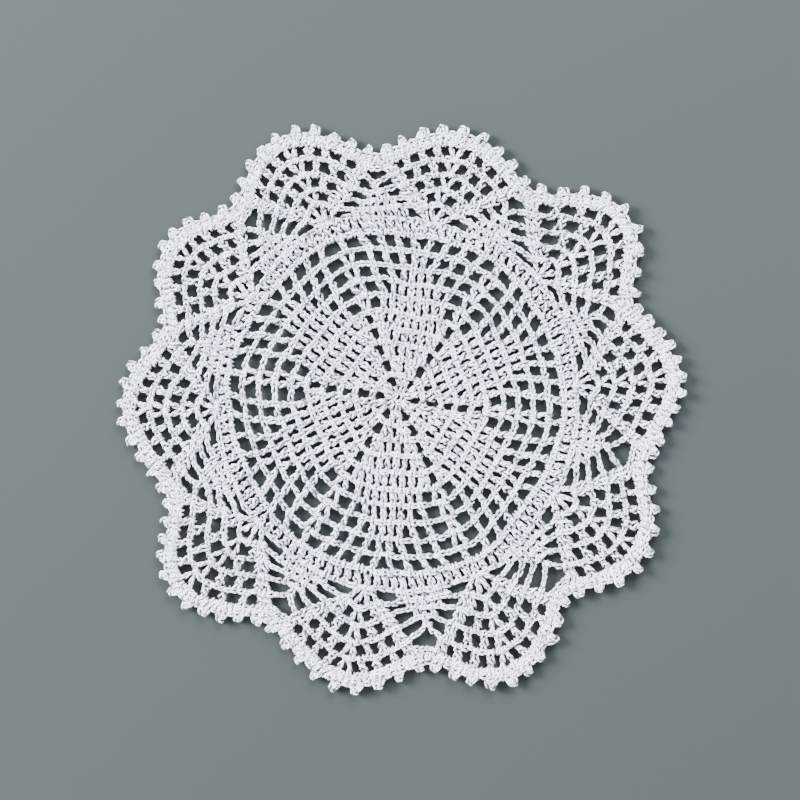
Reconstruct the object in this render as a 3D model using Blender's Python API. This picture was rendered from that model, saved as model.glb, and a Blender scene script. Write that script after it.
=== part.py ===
"""A round crochet doily of white cotton, lying flat.

The doily is worked in one yarn from the middle outwards: a star of six close wedges, five rounds of
open mesh, one close round, ten fans with a small pyramid of close stitches between each two, and an
edging of picots. It is one piece, so here it is one flat sheet with the doily's own uneven outline.
The larger gaps of each repeat are cut through: a repeat is a sixth of the mesh, a fan or a pyramid.

Angles are in degrees, anticlockwise from +X. The middle of the star is at the origin and the sheet
rests on the plane z = 0.
"""
from collections import namedtuple
from math import atan2, cos, degrees, hypot, pi, radians, sin

import bpy

MM = 0.001

# The sheet
THICKNESS = 2.4 * MM
COTTON_WHITE = (0.80, 0.83, 0.88, 1.0)
COTTON_ROUGHNESS = 0.9

# The rounds of the star and the mesh
RING_RADIUS = 4.8 * MM          # the ring of chains that the star starts from
ROUNDS = 10
CORNER = 1.1 * MM               # how far the middle rounds stand out at the spokes

# The six spokes of the star, and how far the last round of the mesh reaches there and half-way to
# the next spoke, in millimetres
Spoke = namedtuple("Spoke", "deg reach_mm side_mm")
SPOKES = (
    Spoke(-8.0, 88.3, 86.9),
    Spoke(52.7, 89.9, 87.5),
    Spoke(109.8, 91.5, 89.1),
    Spoke(170.5, 91.5, 89.1),
    Spoke(236.0, 92.6, 92.8),
    Spoke(293.0, 94.7, 87.7),
)

# Parts of a sixth of a mesh round, counted in gaps
V_STITCH_HALF = 0.38            # the two stitches in one place, at a spoke
CLOSE_STITCH = 0.6
MIDDLE_GAP = 1.15               # the widest gap of the last round
POST_HALF = 1.55 * MM           # half the width of an upright stitch
CHAIN_HALF = 1.6 * MM           # half the height of the chains over a gap

MeshRound = namedtuple("MeshRound", "number v_half gaps_each_side middle cut_each_side middle_open")
MESH_ROUNDS = (
    MeshRound(8, V_STITCH_HALF, 3, 3 * CLOSE_STITCH, 2, False),
    MeshRound(9, V_STITCH_HALF, 4, CLOSE_STITCH, 4, False),
    MeshRound(10, 0.0, 4, MIDDLE_GAP, 4, True),
)

# The ten fans: where each starts on the close round, its tip on the outer edge, the valley that
# follows it, its picots, and how far it leans from the line that runs from its base to its tip.
# Radii are in millimetres from the middle of the star.
Fan = namedtuple("Fan", "base_deg base_mm tip_deg tip_mm valley_deg valley_mm picots lean_deg")
FANS = (
    Fan(4.5, 95.0, 4.7, 149.5, 22.2, 134.2, 11, 1.0),
    Fan(41.0, 97.9, 38.9, 156.0, 57.6, 132.2, 9, -2.5),
    Fan(78.5, 95.0, 76.3, 145.3, 95.0, 131.2, 9, 1.5),
    Fan(113.0, 101.0, 114.6, 152.7, 131.2, 135.0, 10, -3.0),
    Fan(145.6, 95.5, 145.4, 148.2, 163.2, 131.0, 9, 2.0),
    Fan(183.4, 97.4, 180.9, 146.4, 203.0, 132.4, 10, 2.5),
    Fan(222.0, 100.0, 221.2, 157.0, 238.7, 138.0, 11, -1.0),
    Fan(260.0, 102.0, 259.6, 155.0, 276.2, 141.4, 9, -2.5),
    Fan(294.4, 102.7, 292.2, 160.6, 311.0, 138.6, 10, 0.5),
    Fan(328.7, 97.0, 326.9, 155.0, 346.5, 136.2, 9, 2.0),
)
SCALLOP_POWER = 1.6             # roundness of the outer edge between a valley and a tip
EDGING = 5.8 * MM               # the close band outside the fans
FAN_REACH_LIMIT = 100 * MM      # no fan reaches further than this from its base
HALVINGS = 30                   # halvings of that length until a fan's reach is found

# Rows of a fan: how far each reaches from the base to the edging, its half width, and the gaps that
# are cut through, counted from the middle. The upright stitches stand parallel to the middle line.
FanRow = namedtuple("FanRow", "reach half_mm cut_each_side")
FAN_ROWS = (
    FanRow(0.250, 8.6, 0),
    FanRow(0.430, 15.5, 0),
    FanRow(0.620, 22.5, 0),
    FanRow(0.815, 29.8, 2),
    FanRow(1.000, 36.4, 4),
)
FAN_SIDE_DEG = 18.0             # half the turn from fan to fan that these widths are for
FAN_V_HALF = 2.9 * MM           # a fan row's first stitch stands this far from its middle
FAN_GAP = 7.1 * MM              # and each of the others this far from the one before it
FAN_CHAIN_HALF = 1.45 * MM      # half the height of the chains over their gaps

# The pyramids between the fans, and the chains that tie them to the fans' sides
PYRAMID_ROWS = 4
PYRAMID_HALF_WIDTH = 15.2 * MM
PYRAMID_ROW_HEIGHT = 4.55 * MM
SLOTS_CUT = (2, 4)
STRAND_HALF = 1.35 * MM
DIAMOND_TOP = 0.93              # the gap over a pyramid ends at this share of the valley's radius

# Picots
PICOT_HEIGHT = 4.3 * MM
PICOT_BASE_HALF = 3.3 * MM
PICOT_TOP_HALF = 2.5 * MM
PICOT_SHOULDER = 0.62           # height of the widest place
OUTLINE_STEPS = 60              # steps along a scallop when its length is measured


def polar(radius, angle_deg):
    """A point of the plane."""
    return (radius * cos(radians(angle_deg)), radius * sin(radians(angle_deg)))


def between(a, b, share):
    return (a[0] + (b[0] - a[0]) * share, a[1] + (b[1] - a[1]) * share)


def distance(a, b):
    return hypot(b[0] - a[0], b[1] - a[1])


def cell(corners, side_margin, end_margin, shape):
    """A gap inside four corners (inner left, inner right, outer right, outer left).

    The margins are what the stitches around it take up. The shape lists places in the rest of the
    cell, as shares of its width and height.
    """
    inner_left, inner_right, outer_right, outer_left = corners
    width = (distance(inner_left, inner_right) + distance(outer_left, outer_right)) / 2
    height = (distance(inner_left, outer_left) + distance(inner_right, outer_right)) / 2
    side = side_margin / width
    end = end_margin / height
    points = []
    for across, up in shape:
        across_share = side + across * (1 - 2 * side)
        up_share = end + up * (1 - 2 * end)
        inner = between(inner_left, inner_right, across_share)
        outer = between(outer_left, outer_right, across_share)
        points.append(between(inner, outer, up_share))
    return points


# Shapes of the gaps: a mesh gap is square below and round above, where chains pass over it
MESH_GAP = ((0.04, 0.0), (0.96, 0.0), (1.0, 0.55), (0.74, 1.0), (0.26, 1.0), (0.0, 0.55))
FAN_GAP_SHAPE = ((0.35, 0.0), (0.96, 0.0), (1.0, 0.6), (0.65, 1.0), (0.04, 1.0), (0.0, 0.4))
SLOT_GAP = ((0.0, 0.3), (0.5, 0.0), (1.0, 0.15), (1.0, 0.85), (0.5, 1.0), (0.0, 0.7))
DIAMOND_GAP = ((0.0, 0.0), (0.55, 0.0), (1.0, 0.45), (1.0, 1.0), (0.45, 1.0), (0.0, 0.55))


def sixths():
    """Each spoke with the one after it, and the angle between them."""
    following = SPOKES[1:] + SPOKES[:1]
    return [(spoke, after, (after.deg - spoke.deg) % 360) for spoke, after in zip(SPOKES, following)]


def round_radius(level, angle_deg):
    """Radius of the outer edge of a round of the star or the mesh."""
    for spoke, after, turn in sixths():
        share = (angle_deg - spoke.deg) % 360 / turn
        if share < 1:
            break
    nearer = spoke if share < 0.5 else after
    towards_side = (1 - cos(2 * pi * share)) / 2
    reach = (nearer.reach_mm + (spoke.side_mm - nearer.reach_mm) * towards_side) * MM
    corner = CORNER * sin(pi * level / ROUNDS) * cos(2 * pi * share)
    return RING_RADIUS + (reach - RING_RADIUS) * level / ROUNDS + corner


def mesh_gaps():
    """The cut gaps of the mesh rounds, one sixth after another."""
    gaps = []
    for spoke, _, turn in sixths():
        for row in MESH_ROUNDS:
            total = 2 * row.v_half + 2 * row.gaps_each_side + row.middle
            first_cut = row.v_half + row.gaps_each_side - row.cut_each_side
            places = [(first_cut + n, first_cut + n + 1) for n in range(row.cut_each_side)]
            places += [(total - right, total - left) for left, right in reversed(places)]
            if row.middle_open:
                half_way = total / 2
                places.append((half_way - row.middle / 2, half_way + row.middle / 2))
            for left, right in places:
                from_deg = spoke.deg + turn * left / total
                to_deg = spoke.deg + turn * right / total
                corners = (
                    polar(round_radius(row.number - 1, from_deg), from_deg),
                    polar(round_radius(row.number - 1, to_deg), to_deg),
                    polar(round_radius(row.number, to_deg), to_deg),
                    polar(round_radius(row.number, from_deg), from_deg),
                )
                gaps.append(cell(corners, POST_HALF, CHAIN_HALF, MESH_GAP))
    return gaps


def edge_radius(angle_deg):
    """Radius of the outer edge, under the picots."""
    for index, fan in enumerate(FANS):
        before = FANS[index - 1]
        past_tip = (angle_deg - fan.tip_deg + 180) % 360 - 180
        valley_deg, valley_mm = fan.valley_deg, fan.valley_mm
        if past_tip < 0:
            valley_deg, valley_mm = before.valley_deg, before.valley_mm
        to_valley = (valley_deg - fan.tip_deg + 180) % 360 - 180
        share = 1 - past_tip / to_valley
        if 0 <= share <= 1:
            rise = sin(pi / 2 * share) ** SCALLOP_POWER
            return (valley_mm + (fan.tip_mm - valley_mm) * rise) * MM
    raise ValueError("no scallop at this angle")


def fan_base(fan):
    return polar(fan.base_mm * MM, fan.base_deg)


def fan_axis(fan):
    """The angle of a fan's middle line."""
    base, tip = fan_base(fan), polar(fan.tip_mm * MM, fan.tip_deg)
    return degrees(atan2(tip[1] - base[1], tip[0] - base[0])) + fan.lean_deg


def fan_place(fan, across, up):
    """A place in a fan, this far across its middle line and this far up it from the base."""
    base, axis_deg = fan_base(fan), fan_axis(fan)
    rise, aside = polar(up, axis_deg), polar(across, axis_deg + 90)
    return (base[0] + rise[0] + aside[0], base[1] + rise[1] + aside[1])


def fan_reach(fan, across):
    """How far up a fan the inner side of the edging is, at one place across it."""
    near, far = 0.0, FAN_REACH_LIMIT
    for _ in range(HALVINGS):
        middle = (near + far) / 2
        x, y = fan_place(fan, across, middle)
        if hypot(x, y) < edge_radius(degrees(atan2(y, x))) - EDGING:
            near = middle
        else:
            far = middle
    return near


def fan_half_width(fan, row_number, side):
    """Half the width of a fan's row: fans further apart are wider."""
    index = FANS.index(fan)
    first, last = (fan, FANS[(index + 1) % len(FANS)]) if side > 0 else (FANS[index - 1], fan)
    turn = (last.base_deg - first.base_deg) % 360 / 2
    return FAN_ROWS[row_number - 1].half_mm * MM * turn / FAN_SIDE_DEG


def fan_point(fan, row_number, side):
    """A place on the outer edge of a fan row. Side runs from -1 (clockwise) to 1."""
    if row_number == 0:
        return fan_base(fan)
    widest = fan_half_width(fan, len(FAN_ROWS), side)
    up = FAN_ROWS[row_number - 1].reach * fan_reach(fan, side * widest)
    return fan_place(fan, side * fan_half_width(fan, row_number, side), up)


def fan_column(fan, row_number, across):
    """The place on a fan row's outer edge that stands this far from the fan's middle."""
    side = across / fan_half_width(fan, row_number, across)
    return fan_point(fan, row_number, max(-1.0, min(1.0, side)))


def fan_gaps():
    """The cut gaps of the fans' rows, to both sides of each fan's middle."""
    gaps = []
    for fan in FANS:
        for number, row in enumerate(FAN_ROWS, start=1):
            for gap in range(row.cut_each_side):
                near = FAN_V_HALF + FAN_GAP * gap
                far = near + FAN_GAP
                for side in (-1, 1):
                    corners = (
                        fan_column(fan, number - 1, side * far),
                        fan_column(fan, number - 1, side * near),
                        fan_column(fan, number, side * near),
                        fan_column(fan, number, side * far),
                    )
                    slant = distance(corners[2], corners[3]) / FAN_GAP
                    gaps.append(cell(corners, POST_HALF * slant, FAN_CHAIN_HALF * slant, FAN_GAP_SHAPE))
    return gaps


def pyramid_point(fan, next_fan, row_number, side):
    """A place on the outer edge of a pyramid's row. Side is -1 (clockwise), 0 or 1."""
    angle_deg = (fan.base_deg + (next_fan.base_deg - fan.base_deg) % 360 / 2) % 360
    base_radius = (fan.base_mm + next_fan.base_mm) / 2 * MM
    half_width = PYRAMID_HALF_WIDTH * (1 - row_number / PYRAMID_ROWS)
    middle = polar(base_radius + PYRAMID_ROW_HEIGHT * row_number, angle_deg)
    across = polar(side * half_width, angle_deg + 90)
    return (middle[0] + across[0], middle[1] + across[1])


def pyramid_gaps():
    """The cut slots beside each pyramid, and the diamond over it."""
    gaps = []
    for index, fan in enumerate(FANS):
        next_fan = FANS[(index + 1) % len(FANS)]
        for side, neighbour in ((-1, fan), (1, next_fan)):
            for number in SLOTS_CUT:
                corners = (
                    pyramid_point(fan, next_fan, number - 1, side),
                    fan_point(neighbour, number - 1, -side),
                    fan_point(neighbour, number, -side),
                    pyramid_point(fan, next_fan, number, side),
                )
                gaps.append(cell(corners, POST_HALF, STRAND_HALF, SLOT_GAP))
        corners = (
            pyramid_point(fan, next_fan, PYRAMID_ROWS, 0),
            fan_point(next_fan, PYRAMID_ROWS, -1),
            polar(fan.valley_mm * DIAMOND_TOP * MM, fan.valley_deg),
            fan_point(fan, PYRAMID_ROWS, 1),
        )
        gaps.append(cell(corners, STRAND_HALF, STRAND_HALF, DIAMOND_GAP))
    return gaps


def scallop_edge(index):
    """Even steps along the edge of one scallop, from valley to valley."""
    start_deg = FANS[index - 1].valley_deg
    turn = (FANS[index].valley_deg - start_deg) % 360
    points = []
    for step in range(OUTLINE_STEPS + 1):
        angle_deg = start_deg + turn * step / OUTLINE_STEPS
        points.append(polar(edge_radius(angle_deg), angle_deg))
    return points


def place_along(points, length_along):
    """A place on a run of points, and the direction of the run there."""
    walked = 0.0
    for a, b in zip(points, points[1:]):
        step = distance(a, b)
        if walked + step >= length_along:
            break
        walked += step
    place = between(a, b, (length_along - walked) / step)
    return place, ((b[0] - a[0]) / step, (b[1] - a[1]) / step)


def picot(place, along):
    """The outline of one picot, standing on the edge."""
    outwards = (along[1], -along[0])
    profile = (
        (-PICOT_BASE_HALF, 0.0),
        (-PICOT_TOP_HALF, PICOT_SHOULDER * PICOT_HEIGHT),
        (0.0, PICOT_HEIGHT),
        (PICOT_TOP_HALF, PICOT_SHOULDER * PICOT_HEIGHT),
        (PICOT_BASE_HALF, 0.0),
    )
    return [(place[0] + along[0] * x + outwards[0] * y, place[1] + along[1] * x + outwards[1] * y)
            for x, y in profile]


def outline():
    """The outer edge of the doily, scallop by scallop, with its picots."""
    points = []
    for index, fan in enumerate(FANS):
        edge = scallop_edge(index)
        length = sum(distance(a, b) for a, b in zip(edge, edge[1:]))
        for number in range(fan.picots):
            place, along = place_along(edge, length * (number + 0.5) / fan.picots)
            points += picot(place, along)
    return points


def cotton():
    material = bpy.data.materials.new("white cotton")
    material.use_nodes = True
    shader = material.node_tree.nodes["Principled BSDF"]
    shader.inputs["Base Color"].default_value = COTTON_WHITE
    shader.inputs["Roughness"].default_value = COTTON_ROUGHNESS
    shader.inputs["Metallic"].default_value = 0.0
    return material


def flat_sheet(name, loops, thickness, material):
    """A flat outline with holes, as a filled 2D curve that rests on z = 0."""
    curve = bpy.data.curves.new(name, "CURVE")
    curve.dimensions = "2D"
    curve.fill_mode = "BOTH"
    curve.extrude = thickness / 2
    for loop in loops:
        spline = curve.splines.new("POLY")
        spline.points.add(len(loop) - 1)
        for point, (x, y) in zip(spline.points, loop):
            point.co = (x, y, 0.0, 1.0)
        spline.use_cyclic_u = True
    curve.materials.append(material)
    sheet = bpy.data.objects.new(name, curve)
    sheet.location.z = thickness / 2
    return sheet


def main():
    for thing in list(bpy.data.objects):
        bpy.data.objects.remove(thing, do_unlink=True)
    collection = bpy.data.collections.new("lace doily")
    bpy.context.scene.collection.children.link(collection)
    loops = [outline()] + mesh_gaps() + fan_gaps() + pyramid_gaps()
    collection.objects.link(flat_sheet("doily", loops, THICKNESS, cotton()))


main()
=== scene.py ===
"""A round crochet doily of white cotton yarn, stitch by stitch.

One yarn is followed from the middle outwards. Every chain, close stitch and upright stitch is laid
out as the loops of yarn it is made of, and the yarn is then swept along them. The rounds are: a ring
of chains, a star of six close wedges, five rounds of open mesh, a close round, ten fans with a small
pyramid between each two, and an edging with picots.

Angles are in degrees, anticlockwise from +X. Lengths are in metres unless a name ends in _mm.
"""
from collections import namedtuple
from math import atan2, cos, degrees, hypot, pi, radians, sin

import bpy
import numpy as np
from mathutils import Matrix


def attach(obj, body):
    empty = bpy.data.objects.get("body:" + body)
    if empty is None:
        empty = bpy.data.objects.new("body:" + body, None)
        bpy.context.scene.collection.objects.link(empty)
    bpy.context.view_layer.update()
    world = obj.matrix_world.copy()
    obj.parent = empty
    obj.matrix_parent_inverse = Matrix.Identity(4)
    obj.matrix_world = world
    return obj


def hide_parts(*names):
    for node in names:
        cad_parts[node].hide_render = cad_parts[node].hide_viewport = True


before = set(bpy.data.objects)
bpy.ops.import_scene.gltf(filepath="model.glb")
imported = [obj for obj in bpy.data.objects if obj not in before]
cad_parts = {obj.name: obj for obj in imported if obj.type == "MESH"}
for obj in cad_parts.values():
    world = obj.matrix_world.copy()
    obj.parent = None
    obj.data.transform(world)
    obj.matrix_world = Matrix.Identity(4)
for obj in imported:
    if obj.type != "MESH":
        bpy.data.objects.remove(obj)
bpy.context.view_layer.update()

MM = 0.001

# ---------------------------------------------------------------- sizes of the doily, as in its solid

RING_RADIUS = 4.8 * MM          # the ring of chains that the star starts from
ROUNDS = 10                     # of the star and the mesh together
CORNER = 1.1 * MM               # how far the middle rounds stand out at the spokes

Spoke = namedtuple("Spoke", "deg reach_mm side_mm")
SPOKES = (
    Spoke(-8.0, 88.3, 86.9),
    Spoke(52.7, 89.9, 87.5),
    Spoke(109.8, 91.5, 89.1),
    Spoke(170.5, 91.5, 89.1),
    Spoke(236.0, 92.6, 92.8),
    Spoke(293.0, 94.7, 87.7),
)

# A fan leans by some degrees from the line that runs from its base to its tip
Fan = namedtuple("Fan", "base_deg base_mm tip_deg tip_mm valley_deg valley_mm picots lean_deg")
FANS = (
    Fan(4.5, 95.0, 4.7, 149.5, 22.2, 134.2, 11, 1.0),
    Fan(41.0, 97.9, 38.9, 156.0, 57.6, 132.2, 9, -2.5),
    Fan(78.5, 95.0, 76.3, 145.3, 95.0, 131.2, 9, 1.5),
    Fan(113.0, 101.0, 114.6, 152.7, 131.2, 135.0, 10, -3.0),
    Fan(145.6, 95.5, 145.4, 148.2, 163.2, 131.0, 9, 2.0),
    Fan(183.4, 97.4, 180.9, 146.4, 203.0, 132.4, 10, 2.5),
    Fan(222.0, 100.0, 221.2, 157.0, 238.7, 138.0, 11, -1.0),
    Fan(260.0, 102.0, 259.6, 155.0, 276.2, 141.4, 9, -2.5),
    Fan(294.4, 102.7, 292.2, 160.6, 311.0, 138.6, 10, 0.5),
    Fan(328.7, 97.0, 326.9, 155.0, 346.5, 136.2, 9, 2.0),
)
SCALLOP_POWER = 1.6             # roundness of the outer edge between a valley and a tip
EDGING = 5.8 * MM               # the close band outside the fans
FAN_REACH_LIMIT = 100 * MM      # longer than any fan
HALVINGS = 24                   # of that length, in the search for a fan's own

# Rows of a fan: how far each reaches from the base (0) to the edging (1), its half width, and half
# the width of its stitches
FanRow = namedtuple("FanRow", "reach half_mm leg_half_mm")
FAN_ROWS = (
    FanRow(0.250, 8.6, 0.95),
    FanRow(0.430, 15.5, 1.70),
    FanRow(0.620, 22.5, 1.55),
    FanRow(0.815, 29.8, 1.46),
    FanRow(1.000, 36.4, 1.46),
)
INNER_FAN_ROWS = 3              # of these, in a piece of their own
FAN_SIDE_DEG = 18.0             # half the turn from fan to fan that these widths are for
FAN_V_HALF = 3.6 * MM           # a fan row's first stitch ends this far from its middle
FAN_GAP = 7.5 * MM              # and each of the others this far from the one before it

PYRAMID_ROWS = 4
PYRAMID_ROW_HEIGHT = 4.55 * MM
OUTLINE_STEPS = 60              # along the edge of one scallop

# ---------------------------------------------------------------- stitches

# A star round has two more upright stitches in each wedge than the one before it
STAR_ROUNDS = 5
SPOKE_GAP = 1.7                 # the chain at a spoke, counted in stitches
SPOKE_FOOT = 0.35               # how far into that chain a wedge's first stitch is worked

# A mesh round from one spoke to the next: a stitch that shares its foot with the one on the other side
# of the spoke, open gaps, a close block of stitches, and the same again backwards. Its widths are
# counted in open gaps.
V_STITCH_HALF = 0.38            # from a spoke to the top of the first stitch
CLOSE_STITCH = 0.6              # from stitch to stitch in a close block
MIDDLE_GAP = 1.15               # the widest gap of the last mesh round
MeshRound = namedtuple("MeshRound", "number gaps_each_side block")
MESH_ROUNDS = (
    MeshRound(6, 1, 8),
    MeshRound(7, 2, 6),
    MeshRound(8, 3, 4),
    MeshRound(9, 4, 2),
)
CENTRE_MESH_ROUNDS = 2          # of these, in one piece with the star
LAST_MESH_GAPS = 4              # of the last mesh round, to each side of its widest gap
CLOSE_ROUND_PER_FAN = 12        # stitches of the close round from fan to fan
PYRAMID_BASE_STITCHES = 7
EDGING_PER_PICOT = 3            # stitches of an edging round to each picot
V_CHAINS = 1                    # over a spoke, and between two stitches in one place
GAP_CHAINS = 2                  # over an open gap

# Loops of yarn in the post of each kind of stitch
SHORT = 1
CLOSE = 2
UPRIGHT = 3
TALL = 4

# A stitch has its foot in the row below. A chain has none, and no loops in a post.
Stitch = namedtuple("Stitch", "foot top loops leg_half")
# An upright stitch of a round, by the angle of its top, and how many chains follow it
Post = namedtuple("Post", "foot top_deg chains_after")

# Yarn
YARN_RADIUS = 0.66 * MM
YARN_SIDES = 6
YARN_FLATTEN = 0.95             # the worked yarn is pressed flat to this share of its height
TWIST_PITCH = 4.2 * MM          # one turn of the yarn's plies
FIRST_SIDE = (0.31, 0.17, 0.93)     # a tube's sides are set out from here: no yarn starts this way
TINY = 1e-12                    # the least length that a vector is divided by
LOOP_HALF = 0.88 * MM           # half the distance between the two sides of a chain's loop
LEG_HALF = 1.12 * MM            # the same in an upright stitch
STAR_LEG_HALF = 1.08 * MM
V_LEG_HALF = 0.78 * MM
FAN_V_LEG_HALF = 0.72 * MM
PYRAMID_LEG_HALF = 1.15 * MM
CLOSE_LEG_HALF = 1.42 * MM
WIDE_LEG_HALF = 1.45 * MM
FOOT_DIP = 1.45 * MM            # a stitch is worked this far under the top of the one below
SEED = 12
UNEVEN = 0.13 * MM              # how far each bend strays
LOOP_UNEVEN = 0.28 * MM         # how far whole loops of hand work stray
WIDTH_UNEVEN = 0.16             # and how much their widths differ

# The bends of one loop of yarn. Along: from its throat (0) to where the next loop leaves it (1).
# Across: in half loop widths. Depth: over the level of the work. Steps: to the next bend.
Bend = namedtuple("Bend", "along across depth_mm steps")
CHAIN_LOOP = (
    Bend(0.00, -0.15, -0.30, 1),
    Bend(0.35, -0.70, 1.10, 1),
    Bend(0.90, -1.10, 0.70, 2),
    Bend(1.30, 0.00, -0.75, 2),
    Bend(0.90, 1.10, 0.60, 1),
    Bend(0.35, 0.70, 0.95, 1),
    Bend(0.00, 0.20, -0.40, 1),
    Bend(0.50, 1.05, -1.25, 1),
)
LEG_LOOP = (
    Bend(0.00, -0.10, -0.40, 1),
    Bend(0.35, -0.55, 1.05, 1),
    Bend(0.95, -1.15, 0.50, 2),
    Bend(1.35, 0.00, -0.90, 2),
    Bend(0.95, 1.15, 0.30, 1),
    Bend(0.35, 0.60, 0.80, 1),
    Bend(0.00, 0.20, -0.50, 1),
    Bend(0.50, 1.05, -1.25, 1),
)
FOOT_LOOP = (
    Bend(0.00, -0.80, -0.40, 1),
    Bend(0.25, -0.75, 1.30, 1),
    Bend(0.90, -1.10, 0.70, 2),
    Bend(1.35, 0.00, -0.75, 2),
    Bend(0.90, 1.10, 0.45, 1),
    Bend(0.25, 0.75, 1.10, 1),
    Bend(0.00, 0.80, -0.50, 1),
    Bend(0.50, 1.05, -1.25, 1),
)
# The yarn laid over the hook before an upright stitch crosses its front. Across: in half leg widths.
WRAP = (
    Bend(0.80, -1.30, -0.60, 1),
    Bend(0.66, -0.90, 1.25, 1),
    Bend(0.48, 0.75, 1.35, 1),
    Bend(0.36, 1.25, -0.80, 1),
)

RING_LOOPS = 6
RING_LOOPS_RADIUS = 2.6 * MM
V_FOOT = 0.012                  # how far from their common foot two stitches in one place are worked
LAST_FOOT = 0.94                # a fan row's last but one stitch shares the foot of the last
FAN_FOOT_HALF = 2.3 * MM
ROW_END = 1.35                  # a fan row's last top loop reaches this far past its stitch
CLOSE_STITCH_WIDTH = 4.3 * MM
CHAIN_LENGTH = 3.1 * MM
FEWEST_CHAINS = 2
STRAND_BOW = 0.04               # how far a strand bows, as a share of its length
VALLEY_LINKS = (0.0, 0.42)      # where two fans are tied over a pyramid, down their last stitches
# The edging's two rounds: how far inside the outer edge their stitches are worked, and their top loops
EDGING_ROUNDS = ((5.0 * MM, 3.3 * MM), (3.3 * MM, 1.0 * MM))
LEAN = 0.55 * MM                # close stitches lean a little, not all alike
LEAN_UNEVEN = 0.45 * MM
PICOT_CHAINS = 3
PICOT_HALF = 2.0 * MM
PICOT_FOOT = -0.3 * MM          # over the outer edge
PICOT_RISE = 3.7 * MM
PICOT_FILL = 0.5                # how far up the knob its last loop ends
PICOT_UNEVEN = 0.10             # how much their sizes differ
PICOT_LEAN = 0.5 * MM

# How the doily lies: its loops rest on the table, and its rim stands a little off it on one side
REST_HEIGHT = 2.75 * MM         # of the level of the work over the table
LIFT_FROM = 100 * MM            # the rim lifts from this radius on, and in full at the next
LIFT_FULL = 155 * MM
LIFT_HEIGHT = 0.9 * MM
LIFT_RIPPLE = 0.5 * MM          # and up to this much more, once for each fan
LIFT_DEG = -20.0                # the side that lifts most
LIFT_SPREAD_DEG = 60.0

# How its rows wander: waves across it in one direction, each moving the yarn by this much
Wave = namedtuple("Wave", "deg length_mm x_mm y_mm")
WANDERING = (
    Wave(20.0, 61.0, 0.30, 0.35),
    Wave(75.0, 37.0, 0.28, 0.22),
    Wave(131.0, 23.0, 0.20, 0.24),
    Wave(168.0, 14.0, 0.16, 0.14),
)
Y_WAVE_RATE = 1.3               # the moves along y come this much closer together

# Finish of the cotton
COTTON_WHITE = (0.83, 0.875, 1.0, 1.0)
COTTON_IVORY = (0.91, 0.91, 0.95, 1.0)
COTTON_ROUGHNESS = 0.40
COTTON_SPECULAR = 0.9
COTTON_SHEEN = 0.1
SHEEN_ROUGHNESS = 0.5
BUMP_STRENGTH = 0.9

# Its plies and its fibres, which run along them. A shade is a share of the yarn's own colour: painted
# shade between the plies and between the fibres.
PLIES = 3
PLY_DEPTH = 0.50 * MM
GROOVE_SHADE = 0.12             # painted shade in the groove between two plies
GROOVE_END = 0.6                # how high on a ply its own colour starts
FIBRE_STRETCH = (3.0, 24.0, 1.0)    # fibres in one turn of the plies, and round the yarn
FIBRE_DETAIL = 3.0
FIBRE_DEPTH = 0.35              # as a share of a ply's
FIBRE_SHADE = 0.50              # painted shade in the darkest places between fibres
FIBRE_DARK = 0.38               # the noise is this low there
FIBRE_LIGHT = 0.58              # and this high where the fibres have the yarn's own colour

# Painted shade: the yarn is darkened in the deep places between two loops, under the yarn that lies
# outside
CREVICE_SHADE = 0.04
CREVICE_LOW = -0.2 * MM
CREVICE_HIGH = 1.95 * MM
TURN_OVER = 0.4                 # the yarn's painted front shade passes into its painted back shade over this much turn

# It turns a little ivory in clouds, towards the rim, and in the middle
CLOUD_SCALE = 28.0
CLOUD_DETAIL = 2.0
CLOUD_FROM = 0.55
CLOUD_FULL = 0.80
RIM_WARM_FROM = 118 * MM
RIM_WARM_FULL = 160 * MM
MIDDLE_WARM_FROM = 24 * MM
MIDDLE_WARM_FULL = 8 * MM

TABLE_GREY = (0.0146, 0.0184, 0.0169, 1.0)
TABLE_ROUGHNESS = 0.85
TABLE_SPECULAR = 0.2
TABLE_SIZE = 6.0

Lamp = namedtuple("Lamp", "name place size watts colour")
LAMPS = (
    Lamp("window", (-3.50, 1.15, 2.00), 2.0, 1850.0, (0.95, 0.965, 1.06)),
    Lamp("bounce", (0.5, 1.5, 1.25), 1.3, 180.0, (0.92, 0.95, 1.06)),
)
SKY_COLOUR = (0.88, 0.93, 1.08, 1.0)
SKY_STRENGTH = 2.95
LENS_MM = 85.0
SENSOR_MM = 36.0
VIEW_WIDTH = 0.428              # the width of the table that the camera takes in
VIEW_X = 0.8 * MM               # the middle of the view
VIEW_Y = -0.5 * MM
CLIP_START = 0.01

rng = np.random.default_rng(SEED)


def polar(radius, angle_deg):
    """A point of the plane."""
    return (radius * cos(radians(angle_deg)), radius * sin(radians(angle_deg)))


def between(a, b, share):
    """A point on the way from a to b."""
    return (a[0] + (b[0] - a[0]) * share, a[1] + (b[1] - a[1]) * share)


def distance(a, b):
    return hypot(b[0] - a[0], b[1] - a[1])


def direction(a, b):
    """The unit vector from a to b."""
    length = max(distance(a, b), TINY)
    return ((b[0] - a[0]) / length, (b[1] - a[1]) / length)


def beside(place, along, forward, outward):
    """A place this far on in a direction, and this far to the right of it."""
    return (place[0] + along[0] * forward + along[1] * outward,
            place[1] + along[1] * forward - along[0] * outward)


def ramp(values, start, end):
    """0 up to start, 1 from end on, and even between them."""
    return np.clip((values - start) / (end - start), 0.0, 1.0)


# ---------------------------------------------------------------- places

def sixths():
    """Each spoke with the one after it, and the angle between them."""
    following = SPOKES[1:] + SPOKES[:1]
    return [(spoke, after, (after.deg - spoke.deg) % 360) for spoke, after in zip(SPOKES, following)]


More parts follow.
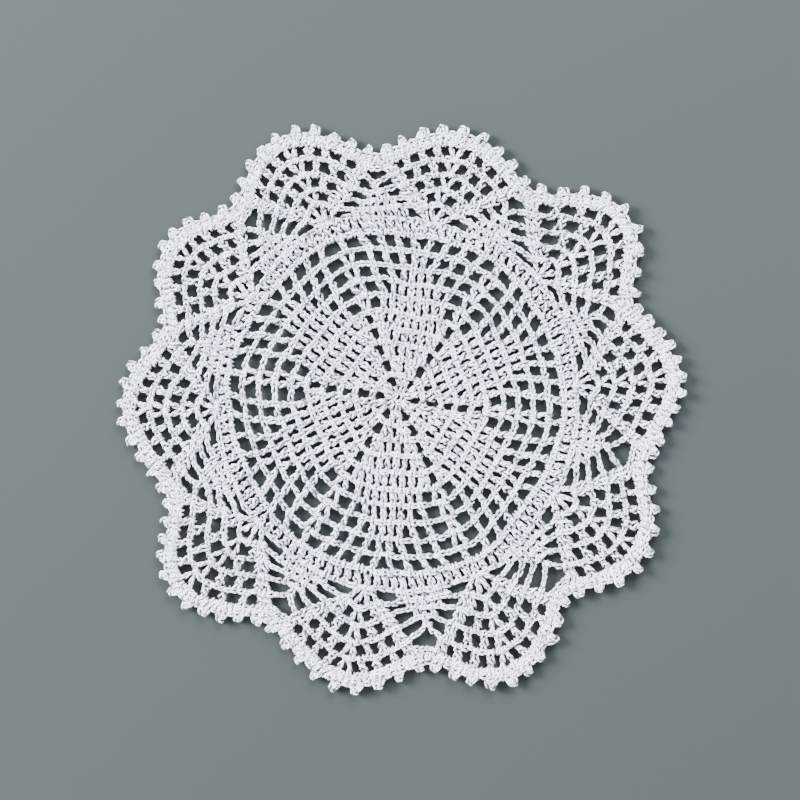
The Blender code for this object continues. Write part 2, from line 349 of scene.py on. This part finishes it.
def round_radius(level, angle_deg):
    """Radius of the outer edge of a round of the star or the mesh."""
    for spoke, after, turn in sixths():
        share = (angle_deg - spoke.deg) % 360 / turn
        if share < 1:
            break
    nearer = spoke if share < 0.5 else after
    towards_side = (1 - cos(2 * pi * share)) / 2
    reach = (nearer.reach_mm + (spoke.side_mm - nearer.reach_mm) * towards_side) * MM
    corner = CORNER * sin(pi * level / ROUNDS) * cos(2 * pi * share)
    return RING_RADIUS + (reach - RING_RADIUS) * level / ROUNDS + corner


def on_round(level, angle_deg):
    return polar(round_radius(level, angle_deg), angle_deg)


def edge_radius(angle_deg):
    """Radius of the outer edge, under the picots."""
    for index, fan in enumerate(FANS):
        before = FANS[index - 1]
        past_tip = (angle_deg - fan.tip_deg + 180) % 360 - 180
        valley_deg, valley_mm = fan.valley_deg, fan.valley_mm
        if past_tip < 0:
            valley_deg, valley_mm = before.valley_deg, before.valley_mm
        to_valley = (valley_deg - fan.tip_deg + 180) % 360 - 180
        share = 1 - past_tip / to_valley
        if 0 <= share <= 1:
            rise = sin(pi / 2 * share) ** SCALLOP_POWER
            return (valley_mm + (fan.tip_mm - valley_mm) * rise) * MM
    raise ValueError("no scallop at this angle")


def neighbours():
    """Each fan with the one after it."""
    return list(zip(FANS, FANS[1:] + FANS[:1]))


def fan_base(fan):
    return polar(fan.base_mm * MM, fan.base_deg)


def fan_axis(fan):
    """The angle of a fan's middle line."""
    base, tip = fan_base(fan), polar(fan.tip_mm * MM, fan.tip_deg)
    return degrees(atan2(tip[1] - base[1], tip[0] - base[0])) + fan.lean_deg


def fan_place(fan, across, up):
    """A place in a fan, this far across its middle line and this far up it from the base."""
    base, axis_deg = fan_base(fan), fan_axis(fan)
    rise, aside = polar(up, axis_deg), polar(across, axis_deg + 90)
    return (base[0] + rise[0] + aside[0], base[1] + rise[1] + aside[1])


def fan_reach(fan, across):
    """How far up a fan the inner side of the edging is, at one place across it."""
    near, far = 0.0, FAN_REACH_LIMIT
    for _ in range(HALVINGS):
        middle = (near + far) / 2
        x, y = fan_place(fan, across, middle)
        if hypot(x, y) < edge_radius(degrees(atan2(y, x))) - EDGING:
            near = middle
        else:
            far = middle
    return near


def fan_half_width(fan, row_number, side):
    """Half the width of a fan's row: fans further apart are wider."""
    index = FANS.index(fan)
    first, last = (fan, FANS[(index + 1) % len(FANS)]) if side > 0 else (FANS[index - 1], fan)
    turn = (last.base_deg - first.base_deg) % 360 / 2
    return FAN_ROWS[row_number - 1].half_mm * MM * turn / FAN_SIDE_DEG


def fan_point(fan, row_number, side):
    """A place on the outer edge of a fan row. Side runs from -1 (clockwise) to 1."""
    widest = fan_half_width(fan, len(FAN_ROWS), side)
    up = FAN_ROWS[row_number - 1].reach * fan_reach(fan, side * widest)
    return fan_place(fan, side * fan_half_width(fan, row_number, side), up)


def pyramid_frame(fan, next_fan):
    """The angle of a pyramid's middle line and the radius of its foot."""
    angle_deg = (fan.base_deg + (next_fan.base_deg - fan.base_deg) % 360 / 2) % 360
    return angle_deg, (fan.base_mm + next_fan.base_mm) / 2 * MM


def pyramid_stitches(row_number):
    """How many stitches a pyramid's row has: two fewer than the row below it."""
    return PYRAMID_BASE_STITCHES - 2 * (row_number - 1)


def pyramid_point(fan, next_fan, row_number, across):
    """A place on the outer edge of a pyramid's row, this far across from its middle line."""
    angle_deg, base_radius = pyramid_frame(fan, next_fan)
    middle = polar(base_radius + PYRAMID_ROW_HEIGHT * row_number, angle_deg)
    aside = polar(across, angle_deg + 90)
    return (middle[0] + aside[0], middle[1] + aside[1])


def scallop_edge(index):
    """Even steps along the edge of one scallop, from valley to valley."""
    start_deg = FANS[index - 1].valley_deg
    turn = (FANS[index].valley_deg - start_deg) % 360
    points = []
    for step in range(OUTLINE_STEPS + 1):
        angle_deg = start_deg + turn * step / OUTLINE_STEPS
        points.append(polar(edge_radius(angle_deg), angle_deg))
    return points


def place_along(points, length_along):
    """A place on a run of points, and the direction of the run there."""
    walked = 0.0
    for a, b in zip(points, points[1:]):
        step = distance(a, b)
        if walked + step >= length_along:
            break
        walked += step
    return between(a, b, (length_along - walked) / step), direction(a, b)


def even_places(index, count):
    """Evenly spaced places on the edge of one scallop, each with the direction of the edge."""
    edge = scallop_edge(index)
    length = sum(distance(a, b) for a, b in zip(edge, edge[1:]))
    return [place_along(edge, length * (number + 0.5) / count) for number in range(count)]


# ---------------------------------------------------------------- yarn

def lay(bends, start, end, half_width, yarn):
    """Adds one loop's bends to a yarn, from start towards end."""
    step = (end[0] - start[0], end[1] - start[1])
    along = direction(start, end)
    half_width = half_width * rng.normal(1.0, WIDTH_UNEVEN)
    shift = rng.normal(0.0, LOOP_UNEVEN, 3)
    for bend in bends:
        across = bend.across * half_width
        stray = shift + rng.normal(0.0, UNEVEN, 3)
        yarn.append((
            start[0] + step[0] * bend.along - along[1] * across + stray[0],
            start[1] + step[1] * bend.along + along[0] * across + stray[1],
            bend.depth_mm * MM + stray[2],
            bend.steps,
        ))


def chain(top):
    return Stitch(None, top, 0, LOOP_HALF)


def work(stitches, end):
    """The bends of the yarn through a run of stitches, whose last top loop reaches to end."""
    yarn = []
    tops = [stitch.top for stitch in stitches] + [end]
    for stitch, after in zip(stitches, tops[1:]):
        if stitch.foot is not None:
            rise = direction(stitch.foot, stitch.top)
            foot = (stitch.foot[0] - rise[0] * FOOT_DIP, stitch.foot[1] - rise[1] * FOOT_DIP)
            if stitch.loops >= UPRIGHT:
                lay(WRAP, foot, stitch.top, -stitch.leg_half, yarn)
            joints = [between(foot, stitch.top, n / stitch.loops) for n in range(stitch.loops + 1)]
            for number, (low, high) in enumerate(zip(joints, joints[1:])):
                lay(FOOT_LOOP if number == 0 else LEG_LOOP, low, high, stitch.leg_half, yarn)
        lay(CHAIN_LOOP, stitch.top, after, LOOP_HALF, yarn)
    return yarn


def tie(start, end, bow=0.0):
    """A run of chains from start to end, bowed to the right of it by a share of its length."""
    step = (end[0] - start[0], end[1] - start[1])
    count = max(FEWEST_CHAINS, round(distance(start, end) / CHAIN_LENGTH))
    stitches = []
    for number in range(count):
        share = number / count
        stitches.append(chain(beside(start, step, share, bow * 4 * share * (1 - share))))
    return work(stitches, end)


def smooth(yarn):
    """Catmull-Rom points through the bends of a yarn."""
    bends = np.array([bend[:3] for bend in yarn])
    steps = [bend[3] for bend in yarn]
    extended = np.vstack([2 * bends[:1] - bends[1:2], bends, 2 * bends[-1:] - bends[-2:-1]])
    points = []
    for number in range(len(bends) - 1):
        a, b, c, d = extended[number:number + 4]
        for step in range(steps[number]):
            t = step / steps[number]
            points.append(0.5 * (2 * b + (c - a) * t + (2 * a - 5 * b + 4 * c - d) * t * t
                                 + (3 * b - a - 3 * c + d) * t * t * t))
    points.append(bends[-1])
    return np.array(points)


def sweep(points, radius, sides):
    """A closed tube along a run of points: vertices, how far each faces up, faces and their UVs."""
    count = len(points)
    tangents = np.gradient(points, axis=0)
    tangents /= np.maximum(np.linalg.norm(tangents, axis=1, keepdims=True), TINY)
    normals = np.empty_like(points)
    normal = np.cross(tangents[0], FIRST_SIDE)
    for number in range(count):
        tangent = tangents[number]
        normal = normal - tangent * normal.dot(tangent)
        normal = normal / max(float(np.sqrt(normal.dot(normal))), TINY)
        normals[number] = normal
    sideways = np.cross(tangents, normals)
    turn = np.arange(sides) * 2 * pi / sides
    ring = (normals[:, None] * np.cos(turn)[None, :, None]
            + sideways[:, None] * np.sin(turn)[None, :, None])
    vertices = (points[:, None] + ring * radius).reshape(-1, 3)
    low = (np.arange(count - 1)[:, None] * sides + np.arange(sides)[None]).reshape(-1)
    after = (np.arange(count - 1)[:, None] * sides + (np.arange(sides)[None] + 1) % sides).reshape(-1)
    faces = np.stack([low, after, after + sides, low + sides], axis=1)
    lengths = np.concatenate([[0.0], np.cumsum(np.linalg.norm(np.diff(points, axis=0), axis=1))])
    turns = lengths / TWIST_PITCH
    u0 = np.repeat(turns[:-1], sides)
    u1 = np.repeat(turns[1:], sides)
    v0 = np.tile(np.arange(sides) / sides, count - 1)
    v1 = v0 + 1 / sides
    uvs = np.stack([np.stack([u0, v0], 1), np.stack([u0, v1], 1),
                    np.stack([u1, v1], 1), np.stack([u1, v0], 1)], axis=1)
    return vertices, ring[:, :, 2].reshape(-1), faces, uvs


def lift(vertices):
    """The doily isn't quite flat: its edge stands a little off the table on one side."""
    x, y = vertices[:, 0], vertices[:, 1]
    radius = np.hypot(x, y)
    angle = np.degrees(np.arctan2(y, x))
    rim = ramp(radius, LIFT_FROM, LIFT_FULL)
    away = (angle - LIFT_DEG + 180) % 360 - 180
    side = np.exp(-(away / LIFT_SPREAD_DEG) ** 2)
    ripple = 0.5 + 0.5 * np.cos(np.radians(angle * len(FANS)))
    return (LIFT_HEIGHT * side + LIFT_RIPPLE * ripple) * rim * rim


def drift(vertices):
    """Hand work isn't quite even: its rows wander a little."""
    x, y = vertices[:, 0].copy(), vertices[:, 1].copy()
    for wave in WANDERING:
        along = x * cos(radians(wave.deg)) + y * sin(radians(wave.deg))
        phase = 2 * pi * along / (wave.length_mm * MM)
        vertices[:, 0] += wave.x_mm * MM * np.sin(phase)
        vertices[:, 1] += wave.y_mm * MM * np.cos(phase * Y_WAVE_RATE)


def openness(depths, facing):
    """How open the yarn lies to the side it faces, front or back: 0 deep between loops, 1 outside. It
    masks the painted shade.
    """
    front = ramp(depths, CREVICE_LOW, CREVICE_HIGH)
    back = ramp(-depths, CREVICE_LOW, CREVICE_HIGH)
    return back + (front - back) * ramp(facing, -TURN_OVER, TURN_OVER)


def warmth(vertices):
    """How ivory the yarn is in each place: 0 white, 1 ivory."""
    radius = np.hypot(vertices[:, 0], vertices[:, 1])
    rim = ramp(radius, RIM_WARM_FROM, RIM_WARM_FULL)
    return np.maximum(rim, ramp(radius, MIDDLE_WARM_FROM, MIDDLE_WARM_FULL))


def settle(vertices):
    """Lays the yarn down: it wanders, is pressed a little flat, and stays over the table."""
    drift(vertices)
    vertices[:, 2] *= YARN_FLATTEN
    vertices[:, 2] += REST_HEIGHT + lift(vertices)
    vertices[:, 2] = np.maximum(vertices[:, 2], 0.0)


def knit_piece(name, yarns):
    """One mesh of all the given yarns, with its painted-shade mask and its ivory tone as attributes."""
    vertices, facing, faces, uvs, ends = [], [], [], [], []
    offset = 0
    for yarn in yarns:
        points = smooth(yarn)
        tube_vertices, tube_facing, tube_faces, tube_uvs = sweep(points, YARN_RADIUS, YARN_SIDES)
        vertices.append(tube_vertices)
        facing.append(tube_facing)
        faces.append(tube_faces + offset)
        uvs.append(tube_uvs)
        first = [offset + side for side in reversed(range(YARN_SIDES))]
        last = [offset + len(tube_vertices) - YARN_SIDES + side for side in range(YARN_SIDES)]
        ends += [first, last]
        offset += len(tube_vertices)
    vertices = np.concatenate(vertices)
    # "open" masks the painted shade deep between the loops; "warm" is the yarn's own ivory tone
    shades = {"open": openness(vertices[:, 2], np.concatenate(facing)), "warm": warmth(vertices)}
    settle(vertices)
    mesh = bpy.data.meshes.new(name)
    mesh.from_pydata(vertices.tolist(), [], np.concatenate(faces).tolist() + ends)
    mesh.update()
    sides_uvs = np.concatenate(uvs).reshape(-1, 2)
    corner_uvs = np.zeros((len(mesh.loops), 2), np.float32)
    corner_uvs[:len(sides_uvs)] = sides_uvs
    mesh.uv_layers.new(name="yarn").data.foreach_set("uv", corner_uvs.reshape(-1))
    for attribute, values in shades.items():
        mesh.attributes.new(attribute, "FLOAT", "POINT").data.foreach_set("value", values)
    mesh.shade_smooth()
    piece = bpy.data.objects.new(name, mesh)
    bpy.context.scene.collection.objects.link(piece)
    return piece


# ---------------------------------------------------------------- rounds

def worked_round(level, posts):
    """A closed round of upright stitches, with chains between some of them."""
    stitches = []
    for index, post in enumerate(posts):
        turn = (posts[(index + 1) % len(posts)].top_deg - post.top_deg) % 360
        leg_half = LEG_HALF
        if level <= STAR_ROUNDS:
            leg_half = STAR_LEG_HALF
        elif V_CHAINS in (post.chains_after, posts[index - 1].chains_after):
            leg_half = V_LEG_HALF
        stitches.append(Stitch(post.foot, on_round(level, post.top_deg), UPRIGHT, leg_half))
        for number in range(post.chains_after):
            share = (number + 1) / (post.chains_after + 1)
            stitches.append(chain(on_round(level, post.top_deg + turn * share)))
    return work(stitches, stitches[0].top)


def ring():
    """The ring of chains that the first round is worked into."""
    places = [polar(RING_LOOPS_RADIUS, 360 / RING_LOOPS * n) for n in range(RING_LOOPS)]
    return work([chain(place) for place in places], places[0])


def star_shares(number):
    """Places of a wedge's stitches in a star round, as shares of a sixth."""
    count = 2 * number
    unit = 1 / (count - 1 + SPOKE_GAP)
    return [unit * (SPOKE_GAP / 2 + place) for place in range(count)]


def star_round(number):
    """Six close wedges, with a chain over the spoke between each two."""
    tops = star_shares(number)
    feet = tops
    if number > 1:
        below = star_shares(number - 1)
        step = SPOKE_FOOT * below[0] / (SPOKE_GAP / 2)
        feet = [below[0] - step] + below + [below[-1] + step]
    posts = []
    for spoke, _, turn in sixths():
        for place, (foot, top) in enumerate(zip(feet, tops)):
            chains_after = V_CHAINS if place == len(tops) - 1 else 0
            posts.append(Post(on_round(number - 1, spoke.deg + turn * foot), spoke.deg + turn * top,
                              chains_after))
    return worked_round(number, posts)


def mesh_shares(row):
    """Places of the upright stitches of a mesh round, as shares of a sixth."""
    total = 2 * V_STITCH_HALF + 2 * row.gaps_each_side + (row.block - 1) * CLOSE_STITCH
    places = [V_STITCH_HALF + gap for gap in range(row.gaps_each_side)]
    places += [V_STITCH_HALF + row.gaps_each_side + n * CLOSE_STITCH for n in range(row.block)]
    places += [total - V_STITCH_HALF - gap for gap in reversed(range(row.gaps_each_side))]
    return [place / total for place in places]


def mesh_round(row):
    """Two stitches in the chain at each spoke, and the others each on a stitch of the round below."""
    tops = mesh_shares(row)
    earlier = MESH_ROUNDS.index(row)
    below = mesh_shares(MESH_ROUNDS[earlier - 1]) if earlier else star_shares(STAR_ROUNDS)
    last = len(tops) - 1
    feet = [V_FOOT] + below[1:last] + [1 - V_FOOT]
    posts = []
    for spoke, _, turn in sixths():
        for place, (foot, top) in enumerate(zip(feet, tops)):
            if place == last:
                chains_after = V_CHAINS
            elif row.gaps_each_side <= place < row.gaps_each_side + row.block - 1:
                chains_after = 0
            else:
                chains_after = GAP_CHAINS
            posts.append(Post(on_round(row.number - 1, spoke.deg + turn * foot), spoke.deg + turn * top,
                              chains_after))
    return worked_round(row.number, posts)


def last_mesh_round():
    """Open gaps all round, with one stitch in each pair of the round below."""
    total = 2 * LAST_MESH_GAPS + MIDDLE_GAP
    places = list(range(LAST_MESH_GAPS + 1))
    places += [total - gap for gap in reversed(range(1, LAST_MESH_GAPS + 1))]
    feet = [0.0] + mesh_shares(MESH_ROUNDS[-1])[1:-1]
    posts = []
    for spoke, _, turn in sixths():
        for foot, place in zip(feet, places):
            posts.append(Post(on_round(ROUNDS - 1, spoke.deg + turn * foot),
                              spoke.deg + turn * place / total, GAP_CHAINS))
    return worked_round(ROUNDS, posts)


def close_round():
    """Upright stitches side by side, up to the feet of the fans and pyramids."""
    stitches = []
    for fan, next_fan in neighbours():
        turn = (next_fan.base_deg - fan.base_deg) % 360
        for number in range(CLOSE_ROUND_PER_FAN):
            share = number / CLOSE_ROUND_PER_FAN
            angle_deg = fan.base_deg + turn * share
            rise = (1 - cos(pi * share)) / 2
            radius = (fan.base_mm + (next_fan.base_mm - fan.base_mm) * rise) * MM
            stitches.append(Stitch(on_round(ROUNDS, angle_deg), polar(radius, angle_deg), UPRIGHT,
                                   CLOSE_LEG_HALF))
    return work(stitches, stitches[0].top)


def centre_rounds():
    """The ring, the star and the first rounds of the mesh."""
    return ([ring()] + [star_round(number) for number in range(1, STAR_ROUNDS + 1)]
            + [mesh_round(row) for row in MESH_ROUNDS[:CENTRE_MESH_ROUNDS]])


def outer_mesh():
    """The other rounds of the mesh, and the close round outside them."""
    return ([mesh_round(row) for row in MESH_ROUNDS[CENTRE_MESH_ROUNDS:]]
            + [last_mesh_round(), close_round()])


# ---------------------------------------------------------------- fans and pyramids

def fan_sides(row_number):
    """Places of a fan row's stitches from its middle to one side, as shares of its half width."""
    half_width = FAN_ROWS[row_number - 1].half_mm * MM
    return [(FAN_V_HALF + FAN_GAP * gap) / half_width for gap in range(row_number)] + [1.0]


def fan_feet(row_number):
    """Where those stitches are worked in the row below: over the chains between its stitches."""
    if row_number == 1:
        return [V_FOOT, 1.0]
    half_width = FAN_ROWS[row_number - 2].half_mm * MM
    chains_below = [(FAN_V_HALF + FAN_GAP * (gap + 0.5)) / half_width for gap in range(row_number - 1)]
    return [V_FOOT] + [min(place, LAST_FOOT) for place in chains_below] + [1.0]


def fan_foot(fan, row_number, side):
    """The foot of a stitch. Those of the first row fan out of one stitch of the close round."""
    if row_number > 1:
        return fan_point(fan, row_number - 1, side)
    base = fan_base(fan)
    aside = polar(FAN_FOOT_HALF * side, fan.base_deg + 90)
    return (base[0] + aside[0], base[1] + aside[1])


def fan_row(fan, row_number):
    """Two stitches in one place in the middle, open gaps beside them, and a close pair at each end."""
    sides, feet = fan_sides(row_number), fan_feet(row_number)
    sides = [-side for side in reversed(sides)] + sides
    feet = [-foot for foot in reversed(feet)] + feet
    middle = len(sides) // 2 - 1
    loops = TALL if row_number == 1 else UPRIGHT
    stitches = []
    for place, (foot, side) in enumerate(zip(feet, sides)):
        leg_half = FAN_ROWS[row_number - 1].leg_half_mm * MM
        if place in (middle, middle + 1):
            leg_half = FAN_V_LEG_HALF
        stitches.append(Stitch(fan_foot(fan, row_number, foot), fan_point(fan, row_number, side), loops,
                               leg_half))
        if place in (0, len(sides) - 2, len(sides) - 1):
            continue
        chains_after = V_CHAINS if place == middle else GAP_CHAINS
        for number in range(chains_after):
            share = (number + 1) / (chains_after + 1)
            stitches.append(chain(fan_point(fan, row_number, side + (sides[place + 1] - side) * share)))
    end = between(stitches[-2].top, stitches[-1].top, ROW_END)
    return work(stitches, end)


def fan_rows(first, last):
    return [fan_row(fan, row_number) for fan in FANS for row_number in range(first, last + 1)]


def pyramid_row(fan, next_fan, row_number):
    """Close stitches side by side, which lean one way in one row and the other way in the next."""
    count = pyramid_stitches(row_number)
    stitches = []
    for number in range(count):
        across = (number - (count - 1) / 2) * CLOSE_STITCH_WIDTH
        lean = rng.normal(LEAN * (-1) ** row_number, LEAN_UNEVEN)
        stitches.append(Stitch(pyramid_point(fan, next_fan, row_number - 1, across + lean),
                               pyramid_point(fan, next_fan, row_number, across), CLOSE,
                               PYRAMID_LEG_HALF))
    return work(stitches, pyramid_point(fan, next_fan, row_number, count / 2 * CLOSE_STITCH_WIDTH))


def strands(fan, next_fan, row_number):
    """The chains from a pyramid's row to the fans at its two sides."""
    half = (pyramid_stitches(row_number) - 1) / 2 * CLOSE_STITCH_WIDTH
    near = pyramid_point(fan, next_fan, row_number, -half)
    far = pyramid_point(fan, next_fan, row_number, half)
    return [
        tie(fan_point(fan, row_number, 1), near, STRAND_BOW),
        tie(far, fan_point(next_fan, row_number, -1), STRAND_BOW),
    ]


def valley_link(fan, next_fan, share):
    """Chains that join the last rows of two fans over a pyramid, this far down their last stitches."""
    last = len(FAN_ROWS)
    start = between(fan_point(fan, last, 1), fan_point(fan, last - 1, 1), share)
    end = between(fan_point(next_fan, last, -1), fan_point(next_fan, last - 1, -1), share)
    return tie(start, end)


def pyramids():
    return [pyramid_row(fan, next_fan, row_number) for fan, next_fan in neighbours()
            for row_number in range(1, PYRAMID_ROWS + 1)]


def chain_strands():
    """Every strand beside a pyramid, and then the links over each."""
    yarns = []
    for fan, next_fan in neighbours():
        for row_number in range(1, PYRAMID_ROWS + 1):
            yarns += strands(fan, next_fan, row_number)
    return yarns + [valley_link(fan, next_fan, share) for fan, next_fan in neighbours()
                    for share in VALLEY_LINKS]


# ---------------------------------------------------------------- edging

def picot_yarn(place, along):
    """A few chains bent round into a knob on the edge."""
    half = PICOT_HALF * rng.normal(1.0, PICOT_UNEVEN)
    rise = PICOT_RISE * rng.normal(1.0, PICOT_UNEVEN)
    lean = rng.normal(0.0, PICOT_LEAN)
    places = []
    for number in range(PICOT_CHAINS + 1):
        turn = pi * number / PICOT_CHAINS
        forward = lean * sin(turn) - half * cos(turn)
        places.append(beside(place, along, forward, PICOT_FOOT + rise * sin(turn)))
    foot = between(places[0], places[-1], 0.5)
    return work([chain(spot) for spot in places], beside(foot, along, 0.0, rise * PICOT_FILL))


def edging_round(foot_inside, top_inside):
    """Close stitches side by side round all the scallops."""
    band = []
    for index, fan in enumerate(FANS):
        for place, along in even_places(index, fan.picots * EDGING_PER_PICOT):
            foot = beside(place, along, rng.normal(LEAN, LEAN_UNEVEN), -foot_inside)
            top = beside(place, along, 0.0, -top_inside)
            band.append(Stitch(foot, top, SHORT, WIDE_LEG_HALF))
    return work(band, band[0].top)


def picots():
    return [picot_yarn(place, along) for index, fan in enumerate(FANS)
            for place, along in even_places(index, fan.picots)]


# ---------------------------------------------------------------- cotton

def add_node(tree, kind, inputs, **settings):
    """A shader node. Each of its inputs, by name or number, is a value or the output that feeds it."""
    node = tree.nodes.new("ShaderNode" + kind)
    for name, value in settings.items():
        setattr(node, name, value)
    for key, value in inputs.items():
        if isinstance(value, bpy.types.NodeSocket):
            tree.links.new(value, node.inputs[key])
        else:
            node.inputs[key].default_value = value
    return node


def maths(tree, operation, *values):
    return add_node(tree, "Math", dict(enumerate(values)), operation=operation).outputs["Value"]


def map_range(tree, value, inputs, **settings):
    return add_node(tree, "MapRange", {"Value": value, **inputs}, **settings).outputs["Result"]


def attribute(tree, name):
    return add_node(tree, "Attribute", {}, attribute_name=name).outputs["Fac"]


def plies_and_fibres(tree):
    """The height of the slanting plies, and the noise of the fibres along them."""
    uv = add_node(tree, "UVMap", {}, uv_map="yarn").outputs["UV"]
    parts = add_node(tree, "SeparateXYZ", {"Vector": uv})
    round_the_yarn = maths(tree, "MULTIPLY", parts.outputs["Y"], PLIES)
    phase = maths(tree, "MULTIPLY_ADD", parts.outputs["X"], PLIES, round_the_yarn)
    ply = maths(tree, "ABSOLUTE", maths(tree, "SINE", maths(tree, "MULTIPLY", phase, pi)))
    stretched = add_node(tree, "Mapping", {"Vector": uv, "Scale": FIBRE_STRETCH}).outputs["Vector"]
    noise = add_node(tree, "TexNoise", {"Vector": stretched, "Scale": 1.0, "Detail": FIBRE_DETAIL})
    return ply, noise.outputs["Fac"]


def cotton_tone(tree):
    """White, and a little ivory in clouds, at the rim and in the middle."""
    place = add_node(tree, "TexCoord", {}).outputs["Object"]
    clouds = add_node(tree, "TexNoise", {"Vector": place, "Scale": CLOUD_SCALE, "Detail": CLOUD_DETAIL})
    warm = map_range(tree, clouds.outputs["Fac"], {"From Min": CLOUD_FROM, "From Max": CLOUD_FULL})
    tone = {"Factor": maths(tree, "MAXIMUM", warm, attribute(tree, "warm")), "A": COTTON_WHITE,
            "B": COTTON_IVORY}
    return add_node(tree, "Mix", tone, data_type="RGBA").outputs["Result"]


def painted_yarn_shade(tree, ply, fibres):
    """Painted shade: darker between the plies, between the fibres and deep between the loops."""
    grooves = map_range(tree, ply, {"From Max": GROOVE_END, "To Min": GROOVE_SHADE})
    between_fibres = map_range(tree, fibres, {"From Min": FIBRE_DARK, "From Max": FIBRE_LIGHT,
                                              "To Min": FIBRE_SHADE})
    # painted shade deep between the loops, where the yarn lies under other yarn
    crevices = map_range(tree, attribute(tree, "open"), {"To Min": CREVICE_SHADE},
                         interpolation_type="SMOOTHSTEP")
    return maths(tree, "MULTIPLY", maths(tree, "MULTIPLY", grooves, between_fibres), crevices)


def cotton_yarn():
    """White cotton with the slanting plies of twisted yarn, on each piece's own UV map."""
    material = bpy.data.materials.new("white cotton yarn")
    material.use_nodes = True
    tree = material.node_tree
    shader = tree.nodes["Principled BSDF"]
    shader.inputs["Roughness"].default_value = COTTON_ROUGHNESS
    shader.inputs["Specular IOR Level"].default_value = COTTON_SPECULAR
    shader.inputs["Sheen Weight"].default_value = COTTON_SHEEN
    shader.inputs["Sheen Roughness"].default_value = SHEEN_ROUGHNESS

    ply, fibres = plies_and_fibres(tree)
    # the yarn's own colour times its painted shade
    shaded = {"Factor": 1.0, "A": cotton_tone(tree), "B": painted_yarn_shade(tree, ply, fibres)}
    colour = add_node(tree, "Mix", shaded, data_type="RGBA", blend_type="MULTIPLY")
    tree.links.new(colour.outputs["Result"], shader.inputs["Base Color"])

    height = maths(tree, "MULTIPLY_ADD", fibres, FIBRE_DEPTH, ply)
    bump = add_node(tree, "Bump", {"Height": height, "Strength": BUMP_STRENGTH, "Distance": PLY_DEPTH})
    tree.links.new(bump.outputs["Normal"], shader.inputs["Normal"])
    return material


# ---------------------------------------------------------------- table, light and camera

def table_top():
    """A plain matt surface, well past the view on every side."""
    bpy.ops.mesh.primitive_plane_add(size=TABLE_SIZE, location=(0, 0, 0))
    table = bpy.context.object
    table.name = "table"
    material = bpy.data.materials.new("matt grey green table")
    material.use_nodes = True
    shader = material.node_tree.nodes["Principled BSDF"]
    shader.inputs["Base Color"].default_value = TABLE_GREY
    shader.inputs["Roughness"].default_value = TABLE_ROUGHNESS
    shader.inputs["Specular IOR Level"].default_value = TABLE_SPECULAR
    table.data.materials.append(material)


def soft_lamp(lamp):
    """A round lamp that is turned to the middle of the doily."""
    data = bpy.data.lights.new(lamp.name, "AREA")
    data.shape = "DISK"
    data.size = lamp.size
    data.energy = lamp.watts
    data.color = lamp.colour
    x, y, z = lamp.place
    light = bpy.data.objects.new(lamp.name, data)
    light.location = lamp.place
    light.rotation_euler = (atan2(hypot(x, y), z), 0.0, atan2(y, x) + pi / 2)
    bpy.context.scene.collection.objects.link(light)


def daylight():
    """Even light from all round."""
    world = bpy.data.worlds.new("daylight")
    world.use_nodes = True
    background = world.node_tree.nodes["Background"]
    background.inputs["Color"].default_value = SKY_COLOUR
    background.inputs["Strength"].default_value = SKY_STRENGTH
    bpy.context.scene.world = world


def overhead_camera():
    """It looks straight down."""
    data = bpy.data.cameras.new("camera")
    data.lens = LENS_MM
    data.sensor_width = SENSOR_MM
    data.clip_start = CLIP_START
    camera = bpy.data.objects.new("camera", data)
    camera.location = (VIEW_X, VIEW_Y, VIEW_WIDTH * LENS_MM / SENSOR_MM)
    bpy.context.scene.collection.objects.link(camera)
    bpy.context.scene.camera = camera


# ---------------------------------------------------------------- the whole scene

def worked_pieces():
    """Every piece of the doily, from the middle outwards."""
    return [
        knit_piece("centre_rounds", centre_rounds()),
        knit_piece("outer_mesh", outer_mesh()),
        knit_piece("pyramids", pyramids()),
        knit_piece("chain_strands", chain_strands()),
        knit_piece("fans_inner_rows", fan_rows(1, INNER_FAN_ROWS)),
        knit_piece("fans_outer_rows", fan_rows(INNER_FAN_ROWS + 1, len(FAN_ROWS))),
        knit_piece("edging", [edging_round(*inside) for inside in EDGING_ROUNDS]),
        knit_piece("picots", picots()),
    ]


def main():
    bpy.ops.object.select_all(action="DESELECT")
    pieces = worked_pieces()
    cotton = cotton_yarn()
    for piece in pieces:
        piece.data.materials.append(cotton)
        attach(piece, "root")
        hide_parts("doily")
    table_top()
    for lamp in LAMPS:
        soft_lamp(lamp)
    daylight()
    overhead_camera()


main()
